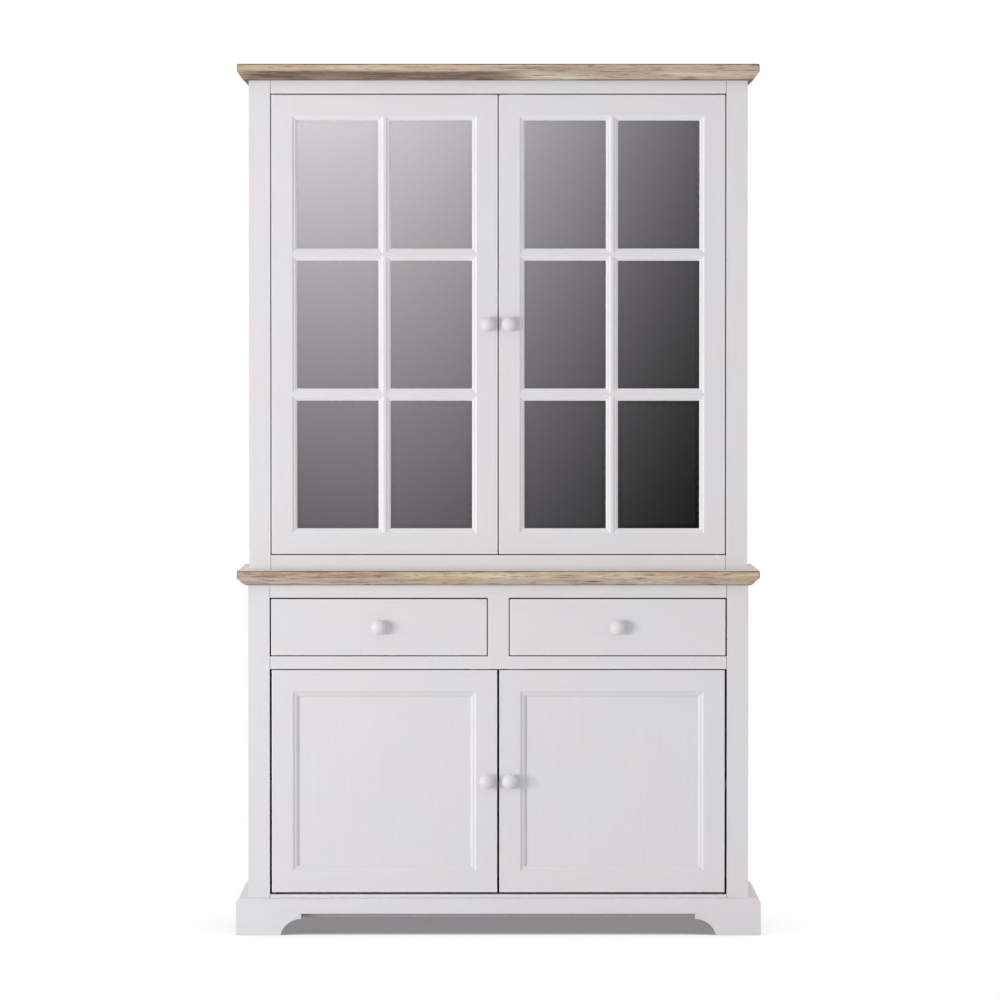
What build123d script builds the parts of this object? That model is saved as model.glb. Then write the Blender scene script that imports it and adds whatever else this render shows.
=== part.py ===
from build123d import *
import math
import os

# A two-part dresser: a glazed hutch on a base with two drawers and two panel doors.
# Millimetres, +Z up, the front faces -Y, the floor is z = 0 and x = 0 is the middle.

# Body
BODY_WIDTH = 1146.0
BASE_DEPTH = 422.0
HUTCH_DEPTH = 360.0
SIDE_THICKNESS = 18.0
BACK_THICKNESS = 8.0
FLOOR_THICKNESS = 18.0

# Face frames
FRAME_THICKNESS = 22.0
STILE_WIDTH = 49.0
BASE_RAIL = 29.0
HUTCH_TOP_RAIL = 30.0
HUTCH_BOTTOM_RAIL = 33.5
MUNTIN_WIDTH = 48.0
CUPBOARD_OPENING = 517.5
DRAWER_OPENING = 134.5
HUTCH_OPENING = 1060.5

# Plinth
PLINTH_HEIGHT = 83.5
RAIL_REVEAL = 7.5
PLINTH_THICKNESS = 28.0
PLINTH_CHAMFER_HEIGHT = 9.0
PLINTH_CHAMFER_INSET = 8.0
FOOT_LENGTH = 150.0
FOOT_ARC_RADIUS = 49.0
FOOT_ARC_HEIGHT = 37.0
ARCH_HEIGHT = 49.0
BODY_RISE = 40.0
BEARER_THICKNESS = 18.0
CORNER_BLOCK = 40.0

# Worktop and cornice
WORKTOP_THICKNESS = 33.0
WORKTOP_OVERHANG = 25.0
WORKTOP_CHAMFER_HEIGHT = 16.0
WORKTOP_CHAMFER_INSET = 18.0
CORNICE_THICKNESS = 37.0
CORNICE_OVERHANG = 26.0
CORNICE_CHAMFER_HEIGHT = 18.5
CORNICE_CHAMFER_INSET = 14.0

# Doors
HUTCH_DOOR_GAP = 2.5
BASE_DOOR_GAP = 5.0
DOOR_TOP_GAP = 2.6
DOOR_THICKNESS = 22.0
DOOR_MEMBER = 48.0
GLASS_BEVEL = 11.0
PANEL_BEVEL = 13.0
BEVEL_DEPTH = 7.0
MOULDING_FILLET = 2.0
PANE_COLUMNS = 2
PANE_ROWS = 3
BAR_FLAT = 6.0
GLASS_SETBACK = 11.0
GLASS_THICKNESS = 4.0
GLASS_REBATE = 6.0
GLASS_CLEARANCE = 0.5
BEAD_SHOW = 10.0
PANEL_SETBACK = 9.0
PANEL_THICKNESS = 8.0
PANEL_GROOVE = 8.0
PANEL_CLEARANCE = 0.5

# Door pivots, catches and strike plates
PIVOT_DEPTH = 8.0
SWING_CLEARANCE = 0.6
PIN_RADIUS = 3.0
PIN_SEAT = 12.0
PIN_COLLAR_RADIUS = 6.0
PIN_REACH = 14.0
BUSH_LENGTH = 16.0
BUSH_WALL = 2.0
RUNNING_CLEARANCE = 0.05
PRESS_CLEARANCE = 0.02
SEAT_CLEARANCE = 0.3
CATCH_WIDTH = 40.0
CATCH_DEPTH = 14.0
CATCH_DROP = 20.0
CATCH_SEAT = 12.0
CATCH_OFFSET = 45.0
STRIKE_WIDTH = 30.0
STRIKE_HEIGHT = 12.0
STRIKE_THICKNESS = 1.0

# Knobs
KNOB_RADIUS = 17.5
KNOB_REACH = 30.0
KNOB_FOOT_RADIUS = 10.0
KNOB_FOOT_HEIGHT = 2.5
KNOB_NECK_RADIUS = 7.5
KNOB_NECK_END = 9.5
KNOB_WIDEST = 18.0
KNOB_RIM = 4.5
KNOB_SPIGOT_RADIUS = 5.0
KNOB_SPIGOT_LENGTH = 14.0

# Drawers
DRAWER_GAP = 2.4
DRAWER_OUTER_GAP = 3.6
DRAWER_TOP_GAP = 3.2
DRAWER_FRONT = 22.0
DRAWER_DEPTH = 370.0
DRAWER_SIDE = 12.0
DRAWER_SIDE_HEIGHT = 100.0
DRAWER_BOTTOM = 6.0
DRAWER_BOTTOM_RISE = 10.0
DECK_THICKNESS = 9.0
DIVIDER_THICKNESS = 18.0
RUNNER_HEIGHT = 15.0
RUNNER_LAP = 25.0
GUIDE_HEIGHT = 20.0

# Shelves and the dowels under the hutch
SHELF_THICKNESS = 18.0
SHELF_SETBACK = 16.0
SHELF_CLEARANCE = 1.0
BASE_SHELF_RISE = 240.0
SHELF_PIN_RADIUS = 2.5
SHELF_PIN_SEAT = 9.0
SHELF_PIN_REACH = 12.0
SHELF_PIN_PLATE = 2.0
SHELF_PIN_INSET = 50.0
DOWEL_RADIUS = 4.0
DOWEL_SEAT = 18.0
DOWEL_INSET = 60.0
HOLE_CLEARANCE = 0.05

# Levels, from the floor up
CUPBOARD_BOTTOM = PLINTH_HEIGHT + RAIL_REVEAL
CUPBOARD_TOP = CUPBOARD_BOTTOM + CUPBOARD_OPENING
DRAWERS_BOTTOM = CUPBOARD_TOP + BASE_RAIL
DRAWERS_TOP = DRAWERS_BOTTOM + DRAWER_OPENING
BASE_TOP = DRAWERS_TOP + BASE_RAIL
WORKTOP_TOP = BASE_TOP + WORKTOP_THICKNESS
DISPLAY_BOTTOM = WORKTOP_TOP + HUTCH_BOTTOM_RAIL
DISPLAY_TOP = DISPLAY_BOTTOM + HUTCH_OPENING
HUTCH_TOP = DISPLAY_TOP + HUTCH_TOP_RAIL
CORNICE_TOP = HUTCH_TOP + CORNICE_THICKNESS
DECK_TOP = DRAWERS_BOTTOM - RUNNER_HEIGHT
DECK_UNDERSIDE = DECK_TOP - DECK_THICKNESS

# Places across and along the depth, with the whole depth centred on y = 0
FRONT_REACH = max(KNOB_REACH, PLINTH_THICKNESS, WORKTOP_OVERHANG)
BACK = (BASE_DEPTH + FRONT_REACH) / 2
BASE_FACE = BACK - BASE_DEPTH
HUTCH_FACE = BACK - HUTCH_DEPTH
PLINTH_FACE = BASE_FACE - PLINTH_THICKNESS
INSIDE_BACK = BACK - BACK_THICKNESS
HALF_BODY = BODY_WIDTH / 2
HALF_INSIDE = HALF_BODY - SIDE_THICKNESS
HALF_OPENING = HALF_BODY - STILE_WIDTH
BUSH_RADIUS = PIN_RADIUS + RUNNING_CLEARANCE + BUSH_WALL


def block(x0, x1, y0, y1, z0, z1):
    """A box between two corners."""
    centre = Pos((x0 + x1) / 2, (y0 + y1) / 2, (z0 + z1) / 2)
    return centre * Box(x1 - x0, y1 - y0, z1 - z0)


def rod(radius, start, end):
    """A round bar from one point to another."""
    path = Vector(*end) - Vector(*start)
    return Solid.make_cylinder(radius, path.length, Plane(start, z_dir=path))


def prism(points, y0, y1):
    """An outline in x and z, drawn out from y0 to y1."""
    outline = Wire.make_polygon([(x, y0, z) for x, z in points], close=True)
    return Solid.extrude(Face(outline), Vector(0, y1 - y0, 0))


def other_side(shape):
    """The same piece on the other side of the middle."""
    return mirror(shape, about=Plane.YZ)


def both_sides(shape):
    """A piece and its twin on the other side of the middle."""
    return [shape, other_side(shape)]


def save(name, *shapes):
    """Write one node, as a group where it has several solids."""
    solids = [solid for shape in shapes for solid in shape.solids()]
    export_step(solids[0] if len(solids) == 1 else Compound(children=solids), f"parts/{name}.step")


def level_rectangle(half_width, front, back, z):
    """A flat rectangle, centred on x = 0, at one height."""
    return Pos(0, (front + back) / 2, z) * Rectangle(2 * half_width, back - front)


def chamfered_slab(half_width, front, back, z0, z1, height, inset, on_top):
    """A slab whose front and side edges are cut back on top or underneath."""
    outer = level_rectangle(half_width, front, back, z1 - height if on_top else z0 + height)
    inner = level_rectangle(half_width - inset, front + inset, back, z1 if on_top else z0)
    square_low = z0 if on_top else z0 + height
    square = block(-half_width, half_width, front, back, square_low, square_low + z1 - z0 - height)
    return square + loft([outer, inner])


def arch(half_straight):
    """The space between two bracket feet, as a face in x and z."""
    drop = FOOT_ARC_RADIUS - FOOT_ARC_HEIGHT
    sweep = math.acos(drop / FOOT_ARC_RADIUS)
    spread = FOOT_ARC_RADIUS * math.sin(sweep)
    middle_x = half_straight + FOOT_ARC_RADIUS * math.sin(sweep / 2)
    middle_z = FOOT_ARC_RADIUS * math.cos(sweep / 2) - drop
    right = [
        ThreePointArc((half_straight + spread, 0), (middle_x, middle_z), (half_straight, FOOT_ARC_HEIGHT)),
        Line((half_straight, FOOT_ARC_HEIGHT), (half_straight, ARCH_HEIGHT)),
        Line((half_straight, ARCH_HEIGHT), (0, ARCH_HEIGHT)),
    ]
    left = [mirror(edge, about=Plane.YZ) for edge in right]
    floor = Line((-half_straight - spread, 0), (half_straight + spread, 0))
    return make_face(Plane.XZ * Curve(children=right + left + [floor]))


def plinth():
    """Boards with bracket feet round three sides, a rear bearer and corner blocks."""
    half_width = HALF_BODY + PLINTH_THICKNESS
    blank = chamfered_slab(half_width, PLINTH_FACE, BACK, 0, PLINTH_HEIGHT,
                           PLINTH_CHAMFER_HEIGHT, PLINTH_CHAMFER_INSET, on_top=True)
    front_arch = extrude(Pos(0, PLINTH_FACE, 0) * arch(half_width - FOOT_LENGTH),
                         PLINTH_THICKNESS, dir=(0, 1, 0))
    front = blank & block(-half_width, half_width, PLINTH_FACE, BASE_FACE, 0, PLINTH_HEIGHT)
    save("plinth_front", front - front_arch)

    depth = BACK - PLINTH_FACE
    side_arch = extrude(Pos(-half_width, (PLINTH_FACE + BACK) / 2, 0) * Rot(0, 0, 90)
                        * arch(depth / 2 - FOOT_LENGTH), PLINTH_THICKNESS, dir=(1, 0, 0))
    side = blank & block(-half_width, -HALF_BODY, BASE_FACE, BACK, 0, PLINTH_HEIGHT)
    side = side - side_arch
    save("plinth_left", side)
    save("plinth_right", other_side(side))

    bearer_front = BACK - BEARER_THICKNESS
    save("plinth_back", block(-HALF_BODY, HALF_BODY, bearer_front, BACK, 0, BODY_RISE))
    corner = -HALF_BODY + CORNER_BLOCK
    front_block = block(-HALF_BODY, corner, BASE_FACE, BASE_FACE + CORNER_BLOCK, 0, BODY_RISE)
    rear_block = block(-HALF_BODY, corner, bearer_front - CORNER_BLOCK, bearer_front, 0, BODY_RISE)
    save("plinth_corner_blocks", *both_sides(front_block), *both_sides(rear_block))


class Doorway:
    """An opening for a pair of doors, and the pivots that the left one turns on."""

    def __init__(self, face, low, high, gap):
        self.face, self.low, self.high, self.gap = face, low, high, gap
        # The pins stand far enough in from the stile for the door's corner to clear it
        room = gap - SWING_CLEARANCE
        inset = max((PIVOT_DEPTH**2 - room**2) / (2 * room), BUSH_RADIUS + BUSH_WALL)
        self.pivot = -HALF_OPENING + gap + inset, face + PIVOT_DEPTH

    def upright(self, radius, z0, z1):
        """A round bar on the pivot axis."""
        return rod(radius, (*self.pivot, z0), (*self.pivot, z1))

    def pins(self):
        """A collared pin under each door and a plain one over it, seated in the rails."""
        collar = self.upright(PIN_COLLAR_RADIUS, self.low, self.low + self.gap - SEAT_CLEARANCE)
        lower = self.upright(PIN_RADIUS, self.low - PIN_SEAT, self.low + self.gap + PIN_REACH) + collar
        upper = self.upright(PIN_RADIUS, self.high - DOOR_TOP_GAP - PIN_REACH, self.high + PIN_SEAT)
        return both_sides(lower) + both_sides(upper)

    def pin_seats(self):
        """The holes that the pivot pins sit in."""
        radius = PIN_RADIUS + PRESS_CLEARANCE
        lower = self.upright(radius, self.low - PIN_SEAT, self.low)
        upper = self.upright(radius, self.high, self.high + PIN_SEAT)
        return both_sides(lower) + both_sides(upper)


def rail(face, z0, z1, holes=()):
    """A face frame rail between the two stiles."""
    piece = block(-HALF_OPENING, HALF_OPENING, face, face + FRAME_THICKNESS, z0, z1)
    for hole in holes:
        piece = piece - hole
    return piece


def stiles(face, z0, z1):
    """The two upright members of a face frame."""
    return both_sides(block(-HALF_BODY, -HALF_OPENING, face, face + FRAME_THICKNESS, z0, z1))


def shelf_pin_places(front, underside):
    """Where the left-hand pins of a shelf enter the side panel."""
    z = underside - SHELF_PIN_PLATE - SHELF_PIN_RADIUS
    return [(-HALF_INSIDE, y, z) for y in (front + SHELF_PIN_INSET, INSIDE_BACK - SHELF_PIN_INSET)]


def shelf_pins(front, underside):
    """Round pegs in the side panels, each with a flat plate under the shelf."""
    pins = []
    for x, y, z in shelf_pin_places(front, underside):
        peg = rod(SHELF_PIN_RADIUS, (x - SHELF_PIN_SEAT, y, z), (x + SHELF_PIN_REACH, y, z))
        plate = block(x, x + SHELF_PIN_REACH, y - SHELF_PIN_RADIUS, y + SHELF_PIN_RADIUS, z, underside)
        pins += both_sides(peg + plate)
    return pins


def shelf(face, underside):
    """A loose shelf between the sides, behind the doors."""
    half_width = HALF_INSIDE - SHELF_CLEARANCE
    front = face + DOOR_THICKNESS + SHELF_SETBACK
    back = INSIDE_BACK - SHELF_CLEARANCE
    return block(-half_width, half_width, front, back, underside, underside + SHELF_THICKNESS)


def side_panel(face, z0, z1, shelf_undersides):
    """A left side panel with the holes for its shelf pins."""
    panel = block(-HALF_BODY, -HALF_INSIDE, face + FRAME_THICKNESS, BACK, z0, z1)
    for underside in shelf_undersides:
        for x, y, z in shelf_pin_places(face + DOOR_THICKNESS + SHELF_SETBACK, underside):
            panel = panel - rod(SHELF_PIN_RADIUS + HOLE_CLEARANCE, (x - SHELF_PIN_SEAT, y, z), (x, y, z))
    return panel


def dowels(radius):
    """Pegs that locate the hutch sides on the worktop."""
    x = -HALF_BODY + SIDE_THICKNESS / 2
    low, high = WORKTOP_TOP - DOWEL_SEAT, WORKTOP_TOP + DOWEL_SEAT
    places = (HUTCH_FACE + FRAME_THICKNESS + DOWEL_INSET, BACK - DOWEL_INSET)
    return [peg for y in places for peg in both_sides(rod(radius, (x, y, low), (x, y, high)))]


def magnetic_catches(face, rail_bottom, top):
    """Catches behind the rail over a pair of doors, clear of the strike plates."""
    rail_back = face + FRAME_THICKNESS
    front = face + DOOR_THICKNESS + STRIKE_THICKNESS + SEAT_CLEARANCE
    x0, x1 = -CATCH_OFFSET - CATCH_WIDTH / 2, -CATCH_OFFSET + CATCH_WIDTH / 2
    body = block(x0, x1, front, front + CATCH_DEPTH, rail_bottom - CATCH_DROP, top)
    seat = block(x0, x1, rail_back, front + CATCH_DEPTH, rail_bottom, top)
    return both_sides(body + seat)


def spans(low, high, count, margin, bar):
    """Split a run into clear openings with bars between them."""
    size = (high - low - 2 * margin - (count - 1) * bar) / count
    starts = [low + margin + k * (size + bar) for k in range(count)]
    return [(start, start + size) for start in starts]


class Door:
    """A left-hand framed door: its outline, its openings and its pieces."""

    def __init__(self, doorway, columns, rows, bevel):
        gap = doorway.gap
        self.doorway = doorway
        self.x0, self.x1 = -HALF_OPENING + gap, -gap / 2
        self.face, self.back = doorway.face, doorway.face + DOOR_THICKNESS
        self.z0, self.z1 = doorway.low + gap, doorway.high - DOOR_TOP_GAP
        self.bevel = bevel
        margin, bar = DOOR_MEMBER + bevel, BAR_FLAT + 2 * bevel
        self.columns = spans(self.x0, self.x1, columns, margin, bar)
        self.rows = spans(self.z0, self.z1, rows, margin, bar)
        self.knob_place = self.x1 - DOOR_MEMBER / 2, (self.z0 + self.z1) / 2

    def panes(self):
        return [(*column, *row) for row in self.rows for column in self.columns]

    def moulding(self, x0, x1, z0, z1):
        """What is cut away in front of one opening: two bevels with a narrow flat between them."""
        run = (self.bevel - MOULDING_FILLET) / 2
        drop = BEVEL_DEPTH / 2
        cuts = []
        for reach, front in ((self.bevel, self.face), (run, self.face + drop)):
            width, height = x1 - x0 + 2 * reach, z1 - z0 + 2 * reach
            bevel = Solid.make_wedge(width, drop, height, run, run, width - run, height - run)
            cuts.append(Pos(x0 - reach, front, z0 - reach) * bevel)
        return cuts

    def blank(self, seat_growth, seat_front, seat_back):
        """The whole framework in one piece, with moulded openings and seats for their panes."""
        whole = block(self.x0, self.x1, self.face, self.back, self.z0, self.z1)
        for x0, x1, z0, z1 in self.panes():
            seat = block(x0 - seat_growth, x1 + seat_growth, seat_front, seat_back,
                         z0 - seat_growth, z1 + seat_growth)
            for cut in self.moulding(x0, x1, z0, z1):
                whole = whole - cut
            whole = whole - block(x0, x1, self.face, self.back, z0, z1) - seat
        for hole in self.pivot_rods(BUSH_RADIUS + PRESS_CLEARANCE):
            whole = whole - hole
        x, z = self.knob_place
        return whole - knob_hole(x, self.face, z)

    def pivot_rods(self, radius):
        """Round bars on the pivot axis, as deep in both ends of the door as its bushes."""
        ends = (self.z0, self.z0 + BUSH_LENGTH), (self.z1, self.z1 - BUSH_LENGTH)
        return [self.doorway.upright(radius, outer, inner) for outer, inner in ends]

    def stepped_edge(self, openings, flat, sight):
        """One moulded edge past a row of openings, with a mitre at both ends of each."""
        steps = []
        for low, high in openings:
            steps += [(low - self.bevel, flat), (low, sight), (high, sight), (high + self.bevel, flat)]
        return steps

    def stile_outlines(self):
        inner = self.x0 + DOOR_MEMBER
        edge = [(x, z) for z, x in self.stepped_edge(self.rows, inner, inner + self.bevel)]
        hinge = [(self.x0, self.z0), (inner, self.z0), *edge, (inner, self.z1), (self.x0, self.z1)]
        return [hinge, [(self.x0 + self.x1 - x, z) for x, z in hinge]]

    def rail_outlines(self):
        left, right = self.x0 + DOOR_MEMBER, self.x1 - DOOR_MEMBER
        upper = self.z0 + DOOR_MEMBER
        edge = self.stepped_edge(self.columns, upper, upper + self.bevel)
        bottom = [(left, self.z0), *edge, (right, self.z0)]
        return [bottom, [(x, self.z0 + self.z1 - z) for x, z in bottom]]

    def bar_outlines(self):
        outlines = []
        half = BAR_FLAT / 2
        for (_, a), (b, _) in zip(self.columns, self.columns[1:]):
            x = (a + b) / 2
            edge = [(u, z) for z, u in self.stepped_edge(self.rows, x + half, x + half + self.bevel)]
            outlines.append(edge + [(2 * x - u, z) for u, z in reversed(edge)])
        for (_, a), (b, _) in zip(self.rows, self.rows[1:]):
            z = (a + b) / 2
            for column in self.columns:
                edge = self.stepped_edge([column], z + half, z + half + self.bevel)
                outlines.append(edge + [(x, 2 * z - u) for x, u in reversed(edge)])
        return outlines

    def cut(self, blank, outlines):
        return [blank & prism(outline, self.face, self.back) for outline in outlines]

    def fittings(self):
        """The bushes that turn on the pivot pins, and the strike plate of the catch."""
        bores = self.pivot_rods(PIN_RADIUS + RUNNING_CLEARANCE)
        bushes = [solid - bore for solid, bore in zip(self.pivot_rods(BUSH_RADIUS), bores)]
        low = self.doorway.high - CATCH_DROP
        strike = block(-CATCH_OFFSET - STRIKE_WIDTH / 2, -CATCH_OFFSET + STRIKE_WIDTH / 2,
                       self.back, self.back + STRIKE_THICKNESS, low, low + STRIKE_HEIGHT)
        return [*bushes, strike]


def knob(x, face, z):
    """A turned mushroom knob whose spigot is glued into the piece behind it."""
    cove = KNOB_FOOT_RADIUS - KNOB_NECK_RADIUS
    cove_end = KNOB_FOOT_HEIGHT + cove
    cove_turn = cove * (1 - math.sqrt(0.5))
    rim_x, rim_y = KNOB_RADIUS - KNOB_RIM, KNOB_WIDEST
    inner_reach = KNOB_REACH - KNOB_RIM
    dome_y = (inner_reach**2 - rim_x**2 - rim_y**2) / (2 * (inner_reach - rim_y))
    dome_radius = KNOB_REACH - dome_y
    meeting = math.atan2(rim_y - dome_y, rim_x)

    def on_dome(angle):
        return dome_radius * math.cos(angle), dome_y + dome_radius * math.sin(angle)

    profile = [
        Polyline((0, KNOB_REACH), (0, -KNOB_SPIGOT_LENGTH), (KNOB_SPIGOT_RADIUS, -KNOB_SPIGOT_LENGTH),
                 (KNOB_SPIGOT_RADIUS, 0), (KNOB_FOOT_RADIUS, 0), (KNOB_FOOT_RADIUS, KNOB_FOOT_HEIGHT)),
        ThreePointArc((KNOB_FOOT_RADIUS, KNOB_FOOT_HEIGHT),
                      (KNOB_NECK_RADIUS + cove_turn, KNOB_FOOT_HEIGHT + cove_turn),
                      (KNOB_NECK_RADIUS, cove_end)),
        Line((KNOB_NECK_RADIUS, cove_end), (KNOB_NECK_RADIUS, KNOB_NECK_END)),
        TangentArc((rim_x, rim_y - KNOB_RIM), (KNOB_NECK_RADIUS, KNOB_NECK_END), tangent=(-1, 0)),
        ThreePointArc((rim_x, rim_y - KNOB_RIM), (KNOB_RADIUS, rim_y), on_dome(meeting)),
        ThreePointArc(on_dome(meeting), on_dome((meeting + math.pi / 2) / 2), (0, KNOB_REACH)),
    ]
    turned = revolve(make_face(profile), Axis.Y)
    return Pos(x, face, z) * Rot(180, 0, 0) * turned


def knob_hole(x, face, z):
    """The hole that a knob's spigot is glued into."""
    return rod(KNOB_SPIGOT_RADIUS + PRESS_CLEARANCE, (x, face, z), (x, face + KNOB_SPIGOT_LENGTH, z))


def save_pair(side_of, name, shapes):
    """Write the left and right nodes of a piece that both twins of a pair have."""
    save(f"{side_of}_left_{name}", *shapes)
    save(f"{side_of}_right_{name}", *[other_side(shape) for shape in shapes])


def glazed_doors(doorway):
    """The two hutch doors, each with a cross of bars, panes and beads behind them."""
    door = Door(doorway, PANE_COLUMNS, PANE_ROWS, GLASS_BEVEL)
    glass_front = door.face + GLASS_SETBACK
    glass_back = glass_front + GLASS_THICKNESS
    blank = door.blank(GLASS_REBATE, glass_front, door.back)
    save_pair("hutch_door", "stiles", door.cut(blank, door.stile_outlines()))
    save_pair("hutch_door", "rails", door.cut(blank, door.rail_outlines()))
    save_pair("hutch_door", "glazing_bars", door.cut(blank, door.bar_outlines()))

    panes, beads = [], []
    lap = GLASS_REBATE - GLASS_CLEARANCE
    r, s = GLASS_REBATE, BEAD_SHOW
    for x0, x1, z0, z1 in door.panes():
        panes.append(block(x0 - lap, x1 + lap, glass_front, glass_back, z0 - lap, z1 + lap))
        beads += [block(x0 - r, x1 + r, glass_back, door.back, z, z + r + s) for z in (z0 - r, z1 - s)]
        beads += [block(x, x + r + s, glass_back, door.back, z0 + s, z1 - s) for x in (x0 - r, x1 - s)]
    save_pair("hutch_door", "glass", panes)
    save_pair("hutch_door", "glazing_beads", beads)
    save_pair("hutch_door", "fittings", door.fittings())
    save_pair("hutch_door", "knob", [knob(door.knob_place[0], door.face, door.knob_place[1])])
    return door


def panel_doors(doorway):
    """The two base doors, each with a flat panel held in a groove."""
    door = Door(doorway, 1, 1, PANEL_BEVEL)
    panel_front = door.face + PANEL_SETBACK
    panel_back = panel_front + PANEL_THICKNESS
    blank = door.blank(PANEL_GROOVE, panel_front, panel_back)
    save_pair("base_door", "stiles", door.cut(blank, door.stile_outlines()))
    save_pair("base_door", "rails", door.cut(blank, door.rail_outlines()))
    (x0, x1, z0, z1), = door.panes()
    lap = PANEL_GROOVE - PANEL_CLEARANCE
    save_pair("base_door", "panel",
              [block(x0 - lap, x1 + lap, panel_front, panel_back, z0 - lap, z1 + lap)])
    save_pair("base_door", "fittings", door.fittings())
    save_pair("base_door", "knob", [knob(door.knob_place[0], door.face, door.knob_place[1])])


def drawers():
    """Two drawers, and the deck, divider, runners and guides that carry them."""
    inside_front = BASE_FACE + FRAME_THICKNESS
    half_muntin, half_divider = MUNTIN_WIDTH / 2, DIVIDER_THICKNESS / 2
    x0, x1 = -HALF_OPENING + DRAWER_OUTER_GAP, -half_muntin - DRAWER_GAP
    z0, z1 = DRAWERS_BOTTOM + DRAWER_GAP, DRAWERS_TOP - DRAWER_TOP_GAP
    knob_x, knob_z = (x0 + x1) / 2, (z0 + z1) / 2
    front_back = BASE_FACE + DRAWER_FRONT
    front = block(x0, x1, BASE_FACE, front_back, z0, z1) - knob_hole(knob_x, BASE_FACE, knob_z)
    save_pair("drawer", "front", [front])
    save_pair("drawer", "knob", [knob(knob_x, BASE_FACE, knob_z)])

    box_back = front_back + DRAWER_DEPTH
    side_low = DRAWERS_BOTTOM + SEAT_CLEARANCE
    side_high = side_low + DRAWER_SIDE_HEIGHT
    bottom_low = side_low + DRAWER_BOTTOM_RISE
    bottom_high = bottom_low + DRAWER_BOTTOM
    left, right = x0 + DRAWER_SIDE, x1 - DRAWER_SIDE
    box = [block(x, x + DRAWER_SIDE, front_back, box_back, side_low, side_high) for x in (x0, right)]
    box.append(block(left, right, front_back, box_back, bottom_low, bottom_high))
    box.append(block(left, right, box_back - DRAWER_SIDE, box_back, bottom_high, side_high))
    save_pair("drawer", "box", box)

    save("drawer_deck", block(-HALF_INSIDE, HALF_INSIDE, inside_front, INSIDE_BACK,
                              DECK_UNDERSIDE, DECK_TOP))
    save("drawer_divider", block(-half_divider, half_divider, inside_front, INSIDE_BACK, DECK_TOP, BASE_TOP))
    strips = []
    outer = -HALF_INSIDE, -HALF_OPENING, RUNNER_LAP
    inner = -half_divider, -half_muntin, -RUNNER_LAP
    for wall, edge, lap in (outer, inner):
        low, high = sorted((wall, edge + lap))
        strips += both_sides(block(low, high, inside_front, INSIDE_BACK, DECK_TOP, DRAWERS_BOTTOM))
        low, high = sorted((wall, edge))
        strips += both_sides(block(low, high, inside_front, INSIDE_BACK, DRAWERS_BOTTOM,
                                   DRAWERS_BOTTOM + GUIDE_HEIGHT))
    save("drawer_runners", *strips)


def base(doorway):
    """The lower body: face frame, panels, shelf and worktop."""
    inside_front = BASE_FACE + FRAME_THICKNESS
    seats = doorway.pin_seats()
    save("base_stiles", *stiles(BASE_FACE, BODY_RISE, BASE_TOP))
    save("base_rails",
         rail(BASE_FACE, BODY_RISE, CUPBOARD_BOTTOM, seats),
         rail(BASE_FACE, CUPBOARD_TOP, DRAWERS_BOTTOM, seats),
         rail(BASE_FACE, DRAWERS_TOP, BASE_TOP))
    save("drawer_muntin", block(-MUNTIN_WIDTH / 2, MUNTIN_WIDTH / 2, BASE_FACE, inside_front,
                                DRAWERS_BOTTOM, DRAWERS_TOP))

    shelf_underside = CUPBOARD_BOTTOM + BASE_SHELF_RISE
    side = side_panel(BASE_FACE, BODY_RISE, BASE_TOP, [shelf_underside])
    save("base_side_left", side)
    save("base_side_right", other_side(side))
    save("base_back", block(-HALF_INSIDE, HALF_INSIDE, INSIDE_BACK, BACK, BODY_RISE, BASE_TOP))
    save("base_floor", block(-HALF_INSIDE, HALF_INSIDE, inside_front, INSIDE_BACK,
                             CUPBOARD_BOTTOM - FLOOR_THICKNESS, CUPBOARD_BOTTOM))
    save("base_shelf", shelf(BASE_FACE, shelf_underside))

    top = chamfered_slab(HALF_BODY + WORKTOP_OVERHANG, BASE_FACE - WORKTOP_OVERHANG, BACK, BASE_TOP,
                         WORKTOP_TOP, WORKTOP_CHAMFER_HEIGHT, WORKTOP_CHAMFER_INSET, on_top=False)
    for hole in dowels(DOWEL_RADIUS + HOLE_CLEARANCE):
        top = top - hole
    save("worktop", top)
    return shelf_pins(BASE_FACE + DOOR_THICKNESS + SHELF_SETBACK, shelf_underside)


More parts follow.
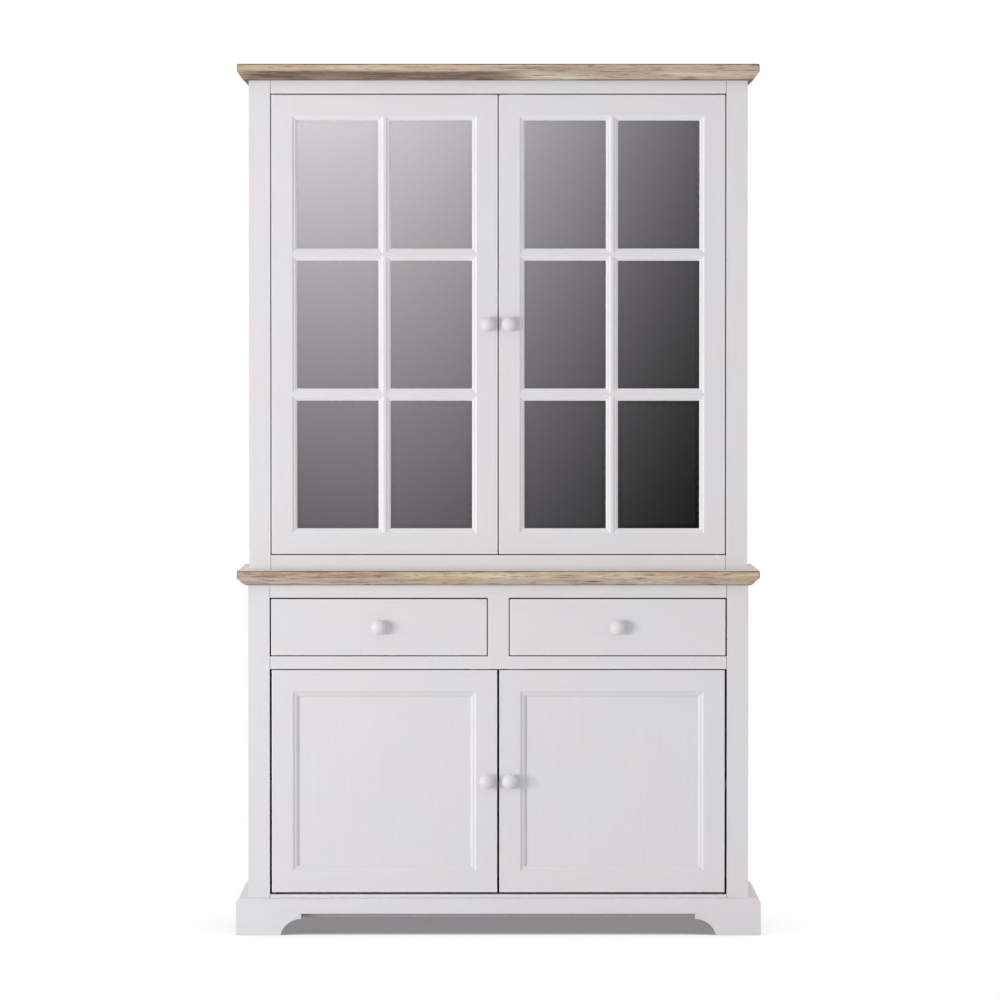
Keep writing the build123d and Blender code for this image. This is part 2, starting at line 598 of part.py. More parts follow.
def hutch(door):
    """The upper body: face frame, panels, cornice, and a shelf behind each row of glazing bars."""
    inside_front = HUTCH_FACE + FRAME_THICKNESS
    seats = door.doorway.pin_seats()
    save("hutch_stiles", *stiles(HUTCH_FACE, WORKTOP_TOP, HUTCH_TOP))
    save("hutch_rails",
         rail(HUTCH_FACE, WORKTOP_TOP, DISPLAY_BOTTOM, seats),
         rail(HUTCH_FACE, DISPLAY_TOP, HUTCH_TOP, seats))

    bar_levels = [(a + b) / 2 for (_, a), (b, _) in zip(door.rows, door.rows[1:])]
    undersides = [level - SHELF_THICKNESS / 2 for level in bar_levels]
    side = side_panel(HUTCH_FACE, WORKTOP_TOP, HUTCH_TOP, undersides)
    for hole in dowels(DOWEL_RADIUS + HOLE_CLEARANCE):
        side = side - hole
    save("hutch_side_left", side)
    save("hutch_side_right", other_side(side))
    save("hutch_back", block(-HALF_INSIDE, HALF_INSIDE, INSIDE_BACK, BACK, WORKTOP_TOP, HUTCH_TOP))
    save("hutch_floor", block(-HALF_INSIDE, HALF_INSIDE, inside_front, INSIDE_BACK,
                              DISPLAY_BOTTOM - FLOOR_THICKNESS, DISPLAY_BOTTOM))
    save("hutch_shelves", *[shelf(HUTCH_FACE, underside) for underside in undersides])
    save("cornice", chamfered_slab(HALF_BODY + CORNICE_OVERHANG, HUTCH_FACE - CORNICE_OVERHANG, BACK,
                                   HUTCH_TOP, CORNICE_TOP, CORNICE_CHAMFER_HEIGHT,
                                   CORNICE_CHAMFER_INSET, on_top=False))
    save("hutch_dowels", *dowels(DOWEL_RADIUS))
    front = HUTCH_FACE + DOOR_THICKNESS + SHELF_SETBACK
    return [pin for underside in undersides for pin in shelf_pins(front, underside)]


os.makedirs("parts", exist_ok=True)
cupboard = Doorway(BASE_FACE, CUPBOARD_BOTTOM, CUPBOARD_TOP, BASE_DOOR_GAP)
display = Doorway(HUTCH_FACE, DISPLAY_BOTTOM, DISPLAY_TOP, HUTCH_DOOR_GAP)
plinth()
glazed = glazed_doors(display)
panel_doors(cupboard)
drawers()
save("shelf_pins", *base(cupboard), *hutch(glazed))
save("pivot_pins", *cupboard.pins(), *display.pins())
save("door_catches", *magnetic_catches(BASE_FACE, CUPBOARD_TOP, DECK_UNDERSIDE),
     *magnetic_catches(HUTCH_FACE, DISPLAY_TOP, DISPLAY_TOP + CATCH_SEAT))
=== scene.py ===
import math

import bpy
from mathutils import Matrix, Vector


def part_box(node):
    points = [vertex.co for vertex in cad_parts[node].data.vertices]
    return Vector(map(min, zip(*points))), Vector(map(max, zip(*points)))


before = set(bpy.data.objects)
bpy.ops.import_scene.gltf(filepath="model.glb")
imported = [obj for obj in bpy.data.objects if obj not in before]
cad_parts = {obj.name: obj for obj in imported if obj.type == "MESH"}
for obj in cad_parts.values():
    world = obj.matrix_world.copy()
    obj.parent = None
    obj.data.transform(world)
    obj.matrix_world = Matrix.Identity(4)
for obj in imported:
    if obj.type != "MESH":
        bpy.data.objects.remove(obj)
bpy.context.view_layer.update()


def srgb(red, green, blue):
    """A colour given as screen levels of 0 to 255, in linear light."""
    def linear(level):
        share = level / 255
        return share / 12.92 if share <= 0.04045 else ((share + 0.055) / 1.055) ** 2.4
    return linear(red), linear(green), linear(blue), 1.0


# The photograph's view: a square picture taken from far away, a little above the middle of the cabinet
SENSOR = 36.0
LENS = 205.0
EYE = (0.004, -13.23, 1.338)
PITCH_DOWN = math.radians(1.503)
VIEW_END = 200.0

# Studio light: soft all round, a little less from the front, and a lamp on the left
AMBIENT = 0.83
FRONT_DIM = 0.30
KEY_PLACE = (-5.2, -4.7, 0.8)
KEY_SIZE = 3.0, 1.4
KEY_POWER = 234.0
KEY_TARGET = (0.0, -0.2, 1.0)
WHITE = (1.0, 1.0, 1.0, 1.0)

# The floor, coloured by how open the space over it is, a painted shadow: under the cabinet, beside it and in
# the open
FLOOR_HALF = 60.0
FLOOR_ALBEDO = 0.76
SHADE_REACH = 0.35
SHADE_SAMPLES = 16
SHADE_KEEP = 0.10
UNDER, BESIDE, OPEN = 0.21, 0.49, 0.82
UNDER_GREY = srgb(145, 142, 145)
BESIDE_WHITE = srgb(251, 250, 251)

# A card of graded light behind the camera, which only reflections see
CARD_DISTANCE = 14.0
CARD_HALF_WIDTH = 1.7
CARD_HEIGHT = 3.2
CARD_STRENGTH = 10.4
CARD_COLOUR = (1.0, 0.955, 1.0, 1.0)

# The card's tone falls over a span of x, rises with height, and falls less steeply lower down
CARD_SPAN = -0.95, 3.05
CARD_FALL = 0.361, -0.519
CARD_RISE = 0.185
CARD_TURN = 0.042
CARD_TURN_HEIGHT = 2.1
CARD_CURVE = 2.2

# Softened edges: their widths in metres, which edges count as sharp or outer, and their material slot
ARRIS = 0.0012
BOARD_ARRIS = 0.0022
SEAM = 0.0014
ARRIS_SEGMENTS = 2
MERGE_DISTANCE = 1e-5
SHARP_ANGLE = math.radians(30)
ON_OUTLINE = 2e-5
EDGE_SLOT = 1

# Parts of a noise's range: most of it, and its middle
MOST = 0.3, 0.7
MIDDLE = 0.35, 0.65

# Paint: pairs of shades that drift into each other, a tint for its streaks, a painted highlight on the
# slopes of mouldings, and primer that is also painted shade
PAINT_WHITES = srgb(223, 222, 225), srgb(226, 221, 224)
# Paler paint on the rounded edges of doors and drawer fronts: a painted highlight
ARRIS_HIGHLIGHT_WHITES = srgb(244, 242, 244), srgb(238, 236, 238)
KNOB_WHITES = srgb(228, 225, 227), srgb(224, 221, 224)
# Grey paint on the rounded ends of rails, where they meet the stiles: painted shade in the joint
JOINT_SHADE_GREYS = srgb(150, 147, 150), srgb(136, 133, 136)
BRUSHED = *MIDDLE, 0.03, srgb(150, 147, 150)
# Whiter paint on the sloped faces of mouldings: a painted highlight
SLOPE_HIGHLIGHT_WHITE = srgb(235, 233, 236)
SLOPING = 0.85, 0.97
# Grey primer below the plinth's top, also painted shade behind the plinth
PRIMER_SHADE_GREY = srgb(176, 173, 175)
PRIMER_FADE = 0.001
PAINT_ROUGHNESS = 0.48, 0.56
PAINT_SPECULAR = 0.4
PAINT_RELIEF = 0.00003
KNOB_GLOSS = 0.06

# All wood: how rough it is, and how deep its fibres are, deepest where it is limed
WOOD_ROUGHNESS = 0.55, 0.7
WOOD_RELIEF = 0.0001
LIMED_RELIEF = 0.0002

# Limed wood: colours along a noise, and tints as the start, the full reach, the strength and the colour
SAPWOOD = (0.28, srgb(154, 134, 116)), (0.48, srgb(196, 178, 156)), (0.70, srgb(218, 208, 188))
# Darker browns for the ends and undersides of boards: end grain, and painted shade
DARK_GRAIN_AND_SHADE = (0.35, srgb(56, 46, 40)), (0.65, srgb(124, 106, 92))
BLUSH = 0.44, 0.64, 0.6, srgb(192, 158, 138)
STRAW = 0.46, 0.66, 0.5, srgb(200, 172, 130)
LINES = 0.55, 0.70, 0.8, srgb(112, 90, 76)
FLECKS = 0.58, 0.72, 0.7, srgb(96, 76, 64)
WAX = 0.58, 0.76, 0.35, srgb(222, 212, 200)
# Faces turned up are tinted paler: a painted sheen
PAINTED_TOP_SHEEN = 0.5, 0.9, 0.83, srgb(238, 231, 223)
ENDWISE = 0.4, 0.8
DOWNWARD = -0.95, -0.75
EDGE_BROWNS = srgb(84, 72, 64), srgb(140, 124, 108)

# The two boards: the colours, end and height of their heartwood, and the run of their figure
CORNICE_HEART = (0.43, srgb(146, 118, 102)), (0.55, srgb(66, 47, 40))
CORNICE_HEART_END = 0.04
CORNICE_STREAK = 0.023
CORNICE_RUN = 4.0
WORKTOP_HEART = (0.43, srgb(196, 172, 156)), (0.55, srgb(150, 120, 106))
WORKTOP_HEART_END = -0.22
WORKTOP_STREAK = 0.015
WORKTOP_RUN = 7.0

# Heartwood: its soft ends, its wavy edge, its least share, and what figure and lines add to its bands
HEART_FADE = 0.06
HEART_WAVE = 0.006
HEART_LEAST = 0.85
HEART_FIGURE = 0.45
HEART_LINES = 0.55

# Knots: a few cells, picked by chance, have a dark core
KNOT_CELLS = (4.5, 26.0, 40.0)
KNOT_PICK = 0.6
KNOT_CORE = 0.05, 0.17
KNOT_STRENGTH = 0.9
KNOT_BROWN = srgb(70, 50, 42)

# Softwood inside, glass and metal
SOFTWOOD = (0.30, srgb(176, 134, 88)), (0.46, srgb(209, 172, 124)), (0.68, srgb(226, 196, 152))
SOFTWOOD_FIBRE = 0.5, 0.75, 0.3, srgb(186, 146, 100)
SQUARE_ON = 0.4, 0.6
GLASS_GREYS = srgb(78, 77, 79), srgb(82, 81, 83)
GLASS_IOR = 1.9
ZINC_GREYS = srgb(176, 177, 180), srgb(206, 207, 208)
DARK_STEEL_GREYS = srgb(58, 57, 58), srgb(78, 77, 77)
STEEL_ROUGHNESS = 0.34, 0.48


class Nodes:
    """A node tree under construction: adds nodes, sets their inputs and joins them."""

    def __init__(self, tree):
        self.tree = tree
        tree.nodes.clear()

    def feed(self, socket, value):
        """Join an input to another node's output, or give it a plain value."""
        if isinstance(value, bpy.types.NodeSocket):
            self.tree.links.new(value, socket)
        else:
            socket.default_value = value

    def add(self, kind, inputs=None, **settings):
        """A new node, with its settings and inputs."""
        node = self.tree.nodes.new(kind)
        for name, value in settings.items():
            setattr(node, name, value)
        for name, value in (inputs or {}).items():
            self.feed(node.inputs[name], value)
        return node

    def math(self, operation, first, second=0.0, clamp=False):
        """A number worked out from one or two others."""
        node = self.add("ShaderNodeMath", {0: first, 1: second}, operation=operation, use_clamp=clamp)
        return node.outputs[0]

    def vector(self, operation, first, second):
        """A vector worked out from two others."""
        return self.add("ShaderNodeVectorMath", {0: first, 1: second}, operation=operation).outputs[0]

    def axes(self, vector):
        """The x, y and z of a vector."""
        return self.add("ShaderNodeSeparateXYZ", {0: vector}).outputs

    def place(self, scale=(1.0, 1.0, 1.0)):
        """Coordinates in metres that ride with the piece, stretched by a scale for each axis."""
        return self.vector("MULTIPLY", self.add("ShaderNodeTexCoord").outputs["Object"], scale)

    def facing(self):
        """The x, y and z of the way that a surface faces."""
        return self.axes(self.add("ShaderNodeTexCoord").outputs["Normal"])

    def noise(self, scale, detail=3.0, roughness=0.5, distortion=0.0):
        """Soft noise from 0 to 1, with its cells stretched by a scale for each axis."""
        node = self.add("ShaderNodeTexNoise", {
            "Vector": self.place(scale), "Scale": 1.0, "Detail": detail,
            "Roughness": roughness, "Distortion": distortion})
        return node.outputs[0]

    def between(self, value, low, high, to_low=0.0, to_high=1.0):
        """A value eased from one range into another."""
        node = self.add("ShaderNodeMapRange", {
            "Value": value, "From Min": low, "From Max": high, "To Min": to_low, "To Max": to_high},
            interpolation_type="SMOOTHSTEP")
        return node.outputs[0]

    def mix(self, share, first, second):
        """Two colours mixed, with a share of the second."""
        node = self.add("ShaderNodeMix", data_type="RGBA")
        values = {"Factor_Float": share, "A_Color": first, "B_Color": second}
        for socket in node.inputs:
            if socket.identifier in values:
                self.feed(socket, values[socket.identifier])
        return next(socket for socket in node.outputs if socket.identifier == "Result_Color")

    def tint(self, base, value, start, full, strength, colour):
        """A base tinted where a value is high: not at all below the start, most above the full reach."""
        return self.mix(self.between(value, start, full, 0.0, strength), base, colour)

    def ramp(self, value, *stops):
        """A colour read from a row of places and colours."""
        node = self.add("ShaderNodeValToRGB", {0: value})
        elements = node.color_ramp.elements
        while len(elements) < len(stops):
            elements.new(1.0)
        for element, (place, colour) in zip(elements, stops):
            element.position = place
            element.color = colour
        return node.outputs[0]

    def bump(self, height, depth):
        """A surface normal from a height of 0 to 1 and a real depth in metres."""
        return self.add("ShaderNodeBump", {"Height": height, "Strength": 1.0, "Distance": depth}).outputs[0]


def new_material(name):
    """A material, and its node tree to fill."""
    material = bpy.data.materials.new(name)
    material.use_nodes = True
    return material, Nodes(material.node_tree)


def principled(nodes, **inputs):
    """The surface of a material, joined to its output."""
    named = {name.replace("_", " "): value for name, value in inputs.items()}
    surface = nodes.add("ShaderNodeBsdfPrincipled", named)
    nodes.add("ShaderNodeOutputMaterial", {"Surface": surface.outputs[0]})


def along(axis, lengthwise, crosswise):
    """A noise scale with long cells on one axis and fine ones on the other two."""
    return tuple(lengthwise if letter == axis else crosswise for letter in "xyz")


def paint(name, grain, shades=PAINT_WHITES, gloss=0.0, primer_shade_below=None, moulded=False):
    """Satin paint over wood: a slow drift between two shades, and faint brushed streaks along the grain.

    It can show primer below a height, which also stands for shade there, and a painted highlight: whiter
    paint on the slopes of a moulding.
    """
    material, nodes = new_material(name)
    streaks = nodes.noise(along(grain, 7.0, 260.0), detail=4.0, roughness=0.6)
    drift = nodes.noise((5.0, 5.0, 5.0), detail=2.0)
    coat = nodes.mix(nodes.between(drift, *MIDDLE), *shades)
    coat = nodes.tint(coat, streaks, *BRUSHED)
    if moulded:
        # Painted highlight: whiter paint where a face turns away from the front
        frontward = nodes.math("ABSOLUTE", nodes.facing()[1])
        coat = nodes.mix(nodes.between(frontward, *SLOPING, 1.0, 0.0), coat, SLOPE_HIGHLIGHT_WHITE)
    if primer_shade_below is not None:
        # Grey primer below a height, also painted shade where the rail hides behind the plinth
        height = nodes.axes(nodes.place())[2]
        primed = nodes.between(height, primer_shade_below - 2 * PRIMER_FADE, primer_shade_below - PRIMER_FADE, 1.0, 0.0)
        coat = nodes.mix(primed, coat, PRIMER_SHADE_GREY)
    principled(
        nodes,
        Base_Color=coat,
        Roughness=nodes.between(streaks, *MOST, *(rough - gloss for rough in PAINT_ROUGHNESS)),
        Specular_IOR_Level=PAINT_SPECULAR,
        Normal=nodes.bump(streaks, PAINT_RELIEF))
    return material


def heartwood(nodes, figure, wander, start, end, low, high):
    """How much of a board is heartwood: a streak along x with soft ends and a wavy edge."""
    axes = nodes.axes(nodes.place())
    x = axes[0]
    wave = nodes.math("MULTIPLY", nodes.math("SUBTRACT", wander, 0.5), HEART_WAVE)
    z = nodes.math("ADD", axes[2], wave)
    share = nodes.between(x, start - HEART_FADE, start + HEART_FADE)
    limits = (
        nodes.between(x, end - HEART_FADE, end + HEART_FADE, 1.0, 0.0),
        nodes.between(z, low - HEART_WAVE, low),
        nodes.between(z, high - HEART_WAVE, high, 1.0, 0.0),
        nodes.between(figure, *MIDDLE, 1.0, HEART_LEAST))
    for limit in limits:
        share = nodes.math("MULTIPLY", share, limit)
    return share


def knots(nodes):
    """How much of a board is knot: the cores of a few cells."""
    cells = nodes.add("ShaderNodeTexVoronoi", {
        "Vector": nodes.place(KNOT_CELLS), "Scale": 1.0, "Randomness": 1.0}).outputs
    draw = nodes.add("ShaderNodeSeparateColor", {0: cells["Color"]}).outputs[0]
    picked = nodes.math("GREATER_THAN", draw, KNOT_PICK)
    core = nodes.between(cells["Distance"], *KNOT_CORE, KNOT_STRENGTH, 0.0)
    return nodes.math("MULTIPLY", core, picked)


def end_grain_and_shade(nodes, facing):
    """1 on the ends and undersides of a board, for its darker end grain and for painted shade there."""
    endwise = nodes.between(nodes.math("ABSOLUTE", facing[0]), *ENDWISE)
    downward = nodes.between(facing[2], *DOWNWARD, 1.0, 0.0)
    return nodes.math("MAXIMUM", endwise, downward)


def limed_wood(name, run, streak, heart):
    """Brushed acacia with white wax left in its grain, a streak of heartwood and a few knots.

    A small run draws the figure out along the board.
    """
    material, nodes = new_material(name)
    figure = nodes.noise((run, 60.0, 110.0), detail=5.0, roughness=0.62, distortion=0.06 * run)
    blush = nodes.noise((run, 15.0, 60.0), detail=2.0)
    straw = nodes.noise((0.7 * run, 17.0, 70.0), detail=2.0, distortion=0.3)
    lines = nodes.noise((2.3 * run, 230.0, 300.0), detail=3.0, roughness=0.6)
    flecks = nodes.noise((6.5 * run, 230.0, 420.0), detail=2.0)
    fibre = nodes.noise((30.0, 700.0, 900.0), detail=2.0)
    wood = nodes.ramp(figure, *SAPWOOD)
    wood = nodes.tint(wood, blush, *BLUSH)
    wood = nodes.tint(wood, straw, *STRAW)
    from_figure = nodes.math("MULTIPLY", figure, HEART_FIGURE)
    from_lines = nodes.math("MULTIPLY", lines, HEART_LINES)
    dark_wood = nodes.ramp(nodes.math("ADD", from_figure, from_lines), *heart)
    wood = nodes.mix(heartwood(nodes, figure, blush, *streak), wood, dark_wood)
    wood = nodes.tint(wood, lines, *LINES)
    wood = nodes.tint(wood, flecks, *FLECKS)
    wood = nodes.tint(wood, fibre, *WAX)
    wood = nodes.mix(knots(nodes), wood, KNOT_BROWN)
    facing = nodes.facing()
    # Ends and undersides darker: end grain, and painted shade on faces turned down and sideways
    wood = nodes.mix(end_grain_and_shade(nodes, facing), wood, nodes.ramp(figure, *DARK_GRAIN_AND_SHADE))
    # The base colour ends with faces turned up tinted paler: a painted sheen
    principled(
        nodes,
        Base_Color=nodes.tint(wood, facing[2], *PAINTED_TOP_SHEEN),
        Roughness=nodes.between(fibre, *MOST, *WOOD_ROUGHNESS),
        Normal=nodes.bump(fibre, LIMED_RELIEF))
    return material


def dark_board_edge(name):
    """A darker brown for the rounded edges of a waxed board."""
    material, nodes = new_material(name)
    edge_noise = nodes.noise((14.0, 60.0, 60.0), detail=3.0)
    principled(
        nodes,
        Base_Color=nodes.mix(nodes.between(edge_noise, *MIDDLE), *EDGE_BROWNS),
        Roughness=nodes.between(edge_noise, *MOST, *WOOD_ROUGHNESS),
        Normal=nodes.bump(edge_noise, WOOD_RELIEF))
    return material


def bare_wood(name, grain):
    """Planed softwood with no finish, for what is inside."""
    material, nodes = new_material(name)
    facing = nodes.facing()["xyz".index(grain)]
    square_on = nodes.between(nodes.math("ABSOLUTE", facing), *SQUARE_ON)
    other = "y" if grain == "x" else "x"

    def grained(lengthwise, crosswise, **look):
        """Noise along the grain, turned to another axis on faces square to the grain."""
        first = nodes.noise(along(grain, lengthwise, crosswise), **look)
        second = nodes.noise(along(other, lengthwise, crosswise), **look)
        return nodes.between(square_on, 0.0, 1.0, first, second)

    rings = grained(2.2, 46.0, detail=4.0, distortion=0.8)
    fibre = grained(14.0, 520.0, detail=2.0)
    principled(
        nodes,
        Base_Color=nodes.tint(nodes.ramp(rings, *SOFTWOOD), fibre, *SOFTWOOD_FIBRE),
        Roughness=nodes.between(fibre, *MOST, *WOOD_ROUGHNESS),
        Normal=nodes.bump(fibre, WOOD_RELIEF))
    return material


def smoked_glass(name):
    """Grey float glass, with a trace of unevenness in its tint."""
    material, nodes = new_material(name)
    film = nodes.noise((6.0, 6.0, 6.0), detail=2.0)
    principled(
        nodes,
        Base_Color=nodes.mix(film, *GLASS_GREYS),
        Roughness=0.0,
        Transmission_Weight=1.0,
        IOR=GLASS_IOR)
    return material


def plated_steel(name, greys):
    """Plated steel, with the mottle of the plating."""
    material, nodes = new_material(name)
    mottle = nodes.noise((180.0, 180.0, 180.0), detail=3.0)
    principled(
        nodes,
        Base_Color=nodes.mix(nodes.between(mottle, *MIDDLE), *greys),
        Roughness=nodes.between(mottle, *MOST, *STEEL_ROUGHNESS),
        Metallic=1.0)
    return material


def seen_directly(nodes):
    """1 for rays that show the background itself: from the camera, or by way of gloss or glass."""
    path = nodes.add("ShaderNodeLightPath")
    seen = nodes.math("MAXIMUM", path.outputs["Is Camera Ray"], path.outputs["Is Glossy Ray"])
    return nodes.math("MAXIMUM", seen, path.outputs["Is Transmission Ray"])


def make_world():
    """Soft light, weakest from the front, with a white background for what looks at it directly."""
    world = bpy.data.worlds.new("studio")
    world.use_nodes = True
    nodes = Nodes(world.node_tree)
    direction = nodes.axes(nodes.add("ShaderNodeTexCoord").outputs["Generated"])
    in_front = nodes.math("MULTIPLY", direction[1], -1.0, clamp=True)
    soft = nodes.math("SUBTRACT", AMBIENT, nodes.math("MULTIPLY", in_front, FRONT_DIM))
    strength = nodes.between(seen_directly(nodes), 0.0, 1.0, soft, 1.0)
    background = nodes.add("ShaderNodeBackground", {"Color": WHITE, "Strength": strength})
    nodes.add("ShaderNodeOutputWorld", {"Surface": background.outputs[0]})
    bpy.context.scene.world = world


def make_key_light():
    """One large soft lamp, far out on the left."""
    lamp = bpy.data.lights.new("key", "AREA")
    lamp.shape = "RECTANGLE"
    lamp.size, lamp.size_y = KEY_SIZE
    lamp.energy = KEY_POWER
    key = bpy.data.objects.new("key", lamp)
    bpy.context.scene.collection.objects.link(key)
    key.location = KEY_PLACE
    aim = Vector(KEY_TARGET) - Vector(KEY_PLACE)
    key.rotation_euler = aim.to_track_quat("-Z", "Y").to_euler()


def plane(name, corners, material):
    """A flat four-sided piece of the studio."""
    mesh = bpy.data.meshes.new(name)
    mesh.from_pydata(corners, [], [(0, 1, 2, 3)])
    mesh.materials.append(material)
    sheet = bpy.data.objects.new(name, mesh)
    bpy.context.scene.collection.objects.link(sheet)
    return sheet


def floor_material():
    """A white floor that still darkens close to the cabinet and under it, by a painted shadow in its glow.
    """
    material, nodes = new_material("floor")
    sky = nodes.add("ShaderNodeAmbientOcclusion", {"Distance": SHADE_REACH}, samples=SHADE_SAMPLES)
    openness = sky.outputs["AO"]
    shade = nodes.ramp(openness, (UNDER, UNDER_GREY), (BESIDE, BESIDE_WHITE), (OPEN, WHITE))
    lit = nodes.between(openness, BESIDE, OPEN, 1.0 - SHADE_KEEP, 1.0)
    share = nodes.math("MULTIPLY", seen_directly(nodes), lit)
    diffuse = nodes.add("ShaderNodeBsdfDiffuse", {"Color": (FLOOR_ALBEDO,) * 3 + (1.0,)})
    white = nodes.add("ShaderNodeEmission", {"Color": shade, "Strength": 1.0})
    surface = nodes.add("ShaderNodeMixShader", {0: share, 1: diffuse.outputs[0], 2: white.outputs[0]})
    nodes.add("ShaderNodeOutputMaterial", {"Surface": surface.outputs[0]})
    return material


def card_material():
    """Light that fades from the upper left of the card to its lower right."""
    material, nodes = new_material("graded_card")
    axes = nodes.axes(nodes.place())
    across = nodes.between(axes[0], *CARD_SPAN, *CARD_FALL)
    upward = nodes.math("MULTIPLY", axes[2], CARD_RISE)
    sideways = nodes.math("MULTIPLY", axes[0], CARD_TURN)
    corner = nodes.math("MULTIPLY", nodes.math("SUBTRACT", CARD_TURN_HEIGHT, axes[2]), sideways)
    tone = nodes.math("ADD", nodes.math("ADD", across, upward), corner, clamp=True)
    level = nodes.math("POWER", tone, CARD_CURVE)
    strength = nodes.math("MULTIPLY", level, CARD_STRENGTH)
    glow = nodes.add("ShaderNodeEmission", {"Color": CARD_COLOUR, "Strength": strength})
    nodes.add("ShaderNodeOutputMaterial", {"Surface": glow.outputs[0]})
    return material


def make_stage():
    """The floor, and the graded card that the glass mirrors."""
    far = FLOOR_HALF
    corners = [(-far, -far, 0), (far, -far, 0), (far, far, 0), (-far, far, 0)]
    plane("floor", corners, floor_material())
    half, behind, top = CARD_HALF_WIDTH, -CARD_DISTANCE, CARD_HEIGHT
    corners = [(-half, behind, 0), (half, behind, 0), (half, behind, top), (-half, behind, top)]
    card = plane("graded_card", corners, card_material())
    for ray in ("camera", "diffuse", "transmission", "volume_scatter", "shadow"):
        setattr(card, f"visible_{ray}", False)


def make_camera():
    """The photograph's viewpoint."""
    data = bpy.data.cameras.new("camera")
    data.sensor_width = SENSOR
    data.lens = LENS
    data.clip_end = VIEW_END
    camera = bpy.data.objects.new("camera", data)
    bpy.context.scene.collection.objects.link(camera)
    camera.location = EYE
    camera.rotation_euler = (math.pi / 2 - PITCH_DOWN, 0, 0)
    bpy.context.scene.camera = camera


def finish_node(name, material, arris=None):
    """Give a node its material, and a second one for its softened edges."""
    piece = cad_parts[name]
    piece.data.materials.clear()
    piece.data.materials.append(material)
    if arris:
        piece.data.materials.append(arris)
    return piece


def edge_marker(name, low=None, high=None, ends_only=False):
    """A modifier tree that closes a mesh along its edges and marks the sharp ones for rounding.

    With a box, only the edges round its outside are marked, or only those at its two ends.
    """
    group = bpy.data.node_groups.new(name, "GeometryNodeTree")
    group.interface.new_socket("Geometry", in_out="INPUT", socket_type="NodeSocketGeometry")
    group.interface.new_socket("Geometry", in_out="OUTPUT", socket_type="NodeSocketGeometry")
    nodes = Nodes(group)
    start = nodes.add("NodeGroupInput").outputs[0]
    closed = nodes.add("GeometryNodeMergeByDistance",
                       {"Geometry": start, "Distance": MERGE_DISTANCE}).outputs[0]
    bare = nodes.add("GeometryNodeRemoveAttribute", {"Geometry": closed, "Name": "custom_normal"}).outputs[0]
    angle = nodes.add("GeometryNodeInputMeshEdgeAngle").outputs[0]
    sharp = nodes.math("GREATER_THAN", angle, SHARP_ANGLE)
    smooth = nodes.math("LESS_THAN", angle, SHARP_ANGLE)
    shaded = nodes.add("GeometryNodeSetShadeSmooth", {"Geometry": bare, "Shade Smooth": smooth},
                       domain="EDGE").outputs[0]
    marked = sharp
    if low is not None:
        position = nodes.add("GeometryNodeInputPosition").outputs[0]
        past_low = nodes.vector("SUBTRACT", position, low)
        to_high = nodes.vector("SUBTRACT", high, position)
        product = nodes.axes(nodes.vector("MULTIPLY", past_low, to_high))
        nearest = product[0] if ends_only else nodes.math("MINIMUM", product[0], product[2])
        marked = nodes.math("MULTIPLY", sharp, nodes.math("LESS_THAN", nearest, ON_OUTLINE))
    weighed = nodes.add("GeometryNodeStoreNamedAttribute", {
        "Geometry": shaded, "Name": "bevel_weight_edge", "Value": marked}, data_type="FLOAT", domain="EDGE")
    nodes.add("NodeGroupOutput", {0: weighed.outputs[0]})
    return group


def soften(piece, marker, width):
    """Round the marked edges of a piece a little, so that its other joints stay closed."""
    modifier = piece.modifiers.new("edges", "NODES")
    modifier.node_group = marker
    bevel = piece.modifiers.new("arris", "BEVEL")
    bevel.width = width
    bevel.segments = ARRIS_SEGMENTS
    bevel.limit_method = "WEIGHT"
    bevel.use_clamp_overlap = False
    bevel.miter_outer = "MITER_ARC"
    bevel.harden_normals = True
    bevel.material = EDGE_SLOT


def dress_slabs():
    """The worktop and the cornice, each from a board with its own streak of heartwood."""
    edge = dark_board_edge("limed_edge")
    low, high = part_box("cornice")
    lower_half = low[0], CORNICE_HEART_END, low[2], low[2] + CORNICE_STREAK
    cornice = limed_wood("limed_cornice", CORNICE_RUN, lower_half, CORNICE_HEART)
    soften(finish_node("cornice", cornice, edge), edge_marker("cornice_edges", low, high), BOARD_ARRIS)
    low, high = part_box("worktop")
    upper_half = low[0], WORKTOP_HEART_END, high[2] - WORKTOP_STREAK, high[2] + HEART_WAVE
    worktop = limed_wood("limed_worktop", WORKTOP_RUN, upper_half, WORKTOP_HEART)
    soften(finish_node("worktop", worktop, edge), edge_marker("worktop_edges", low, high), BOARD_ARRIS)


def dress_body(upright, level, joint_shade):
    """The fixed part: face frames, panels and plinth."""
    for name in ("base_stiles", "hutch_stiles", "drawer_muntin"):
        finish_node(name, upright)
    # The base rails turn grey below the plinth's top: primer, and painted shade behind the plinth
    primed = paint("paint_primer_shade", "x", primer_shade_below=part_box("plinth_front")[1][2])
    for name, coat in (("base_rails", primed), ("hutch_rails", level)):
        marker = edge_marker(f"{name}_ends", *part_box(name), ends_only=True)
        # The rail ends get the grey joint paint: painted shade
        soften(finish_node(name, coat, joint_shade), marker, SEAM)
    plinth_edges = edge_marker("plinth_edges")
    for name in ("plinth_front", "plinth_left", "plinth_right"):
        soften(finish_node(name, level, level), plinth_edges, ARRIS)
    for name in ("base_side_left", "base_side_right", "base_back", "hutch_side_left", "hutch_side_right",
                 "hutch_back"):
        finish_node(name, upright)
    for name in ("base_floor", "base_shelf", "hutch_floor", "hutch_shelves"):
        finish_node(name, level)


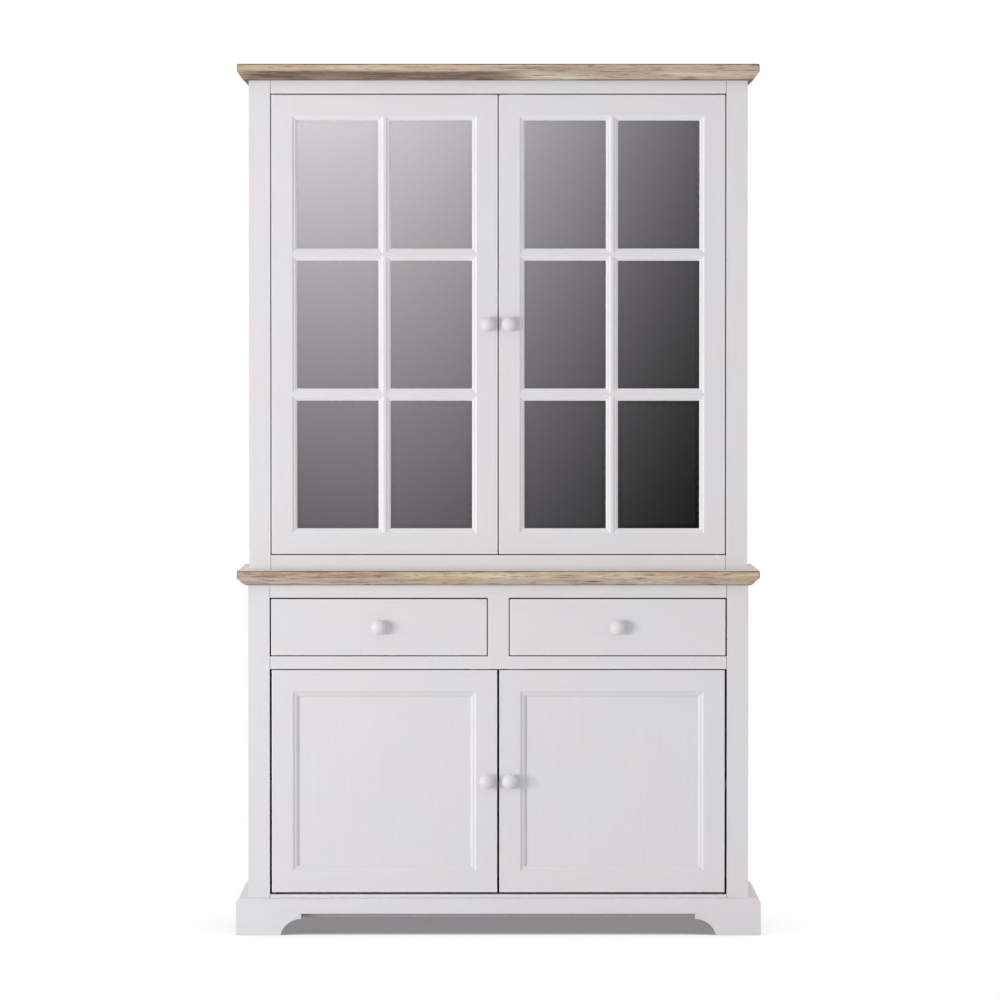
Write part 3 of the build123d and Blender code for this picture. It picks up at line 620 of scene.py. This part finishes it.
def dress_doors(upright, level, arris, glass, steel, knob_paint):
    """Four framed doors, two with panes and two with panels."""
    # Paints with a painted highlight on their sloped faces
    moulded_upright = paint("paint_upright_slope_highlight", "z", moulded=True)
    moulded_level = paint("paint_level_slope_highlight", "x", moulded=True)
    coats = {"hutch": (moulded_upright, moulded_level), "base": (upright, level)}
    for door in ("hutch_door_left", "hutch_door_right", "base_door_left", "base_door_right"):
        low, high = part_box(f"{door}_stiles")
        marker = edge_marker(f"{door}_outline", low, high)
        stile_coat, rail_coat = coats[door.split("_")[0]]
        soften(finish_node(f"{door}_stiles", stile_coat, arris), marker, ARRIS)
        soften(finish_node(f"{door}_rails", rail_coat, arris), marker, ARRIS)
        finish_node(f"{door}_knob", knob_paint)
        finish_node(f"{door}_fittings", steel)
    for side in ("left", "right"):
        finish_node(f"hutch_door_{side}_glazing_bars", moulded_upright)
        finish_node(f"hutch_door_{side}_glazing_beads", upright)
        finish_node(f"hutch_door_{side}_glass", glass)
        finish_node(f"base_door_{side}_panel", upright)


def dress_drawers(level, arris, inside, knob_paint):
    """Two drawers with painted fronts and bare boxes."""
    for side in ("left", "right"):
        front = f"drawer_{side}_front"
        soften(finish_node(front, level, arris), edge_marker(f"{front}_outline", *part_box(front)), ARRIS)
        finish_node(f"drawer_{side}_box", inside)
        finish_node(f"drawer_{side}_knob", knob_paint)


def dress_hidden(inside_across, inside_along, steel, dark_steel):
    """What carries the drawers and the body, and the small metal."""
    for name in ("drawer_deck", "plinth_back", "plinth_corner_blocks", "hutch_dowels"):
        finish_node(name, inside_across)
    for name in ("drawer_runners", "drawer_divider"):
        finish_node(name, inside_along)
    for name in ("shelf_pins", "door_catches"):
        finish_node(name, steel)
    finish_node("pivot_pins", dark_steel)


def dress():
    """Every node of the cabinet in its material."""
    upright = paint("paint_upright", "z")
    level = paint("paint_level", "x")
    # Paler paint for rounded edges: a painted highlight
    arris = paint("paint_arris_highlight", "x", ARRIS_HIGHLIGHT_WHITES)
    # Grey paint for the rail ends: painted shade in the joints
    joint_shade = paint("paint_joint_shade", "z", JOINT_SHADE_GREYS)
    knob_paint = paint("paint_knob", "y", KNOB_WHITES, gloss=KNOB_GLOSS)
    steel = plated_steel("zinc_steel", ZINC_GREYS)
    dark_steel = plated_steel("dark_steel", DARK_STEEL_GREYS)
    along_depth = bare_wood("softwood_along", "y")
    dress_slabs()
    dress_body(upright, level, joint_shade)
    dress_doors(upright, level, arris, smoked_glass("smoked_glass"), steel, knob_paint)
    dress_drawers(level, arris, along_depth, knob_paint)
    dress_hidden(bare_wood("softwood_across", "x"), along_depth, steel, dark_steel)


bpy.context.scene.view_settings.view_transform = "Standard"
make_world()
make_key_light()
make_stage()
make_camera()
dress()
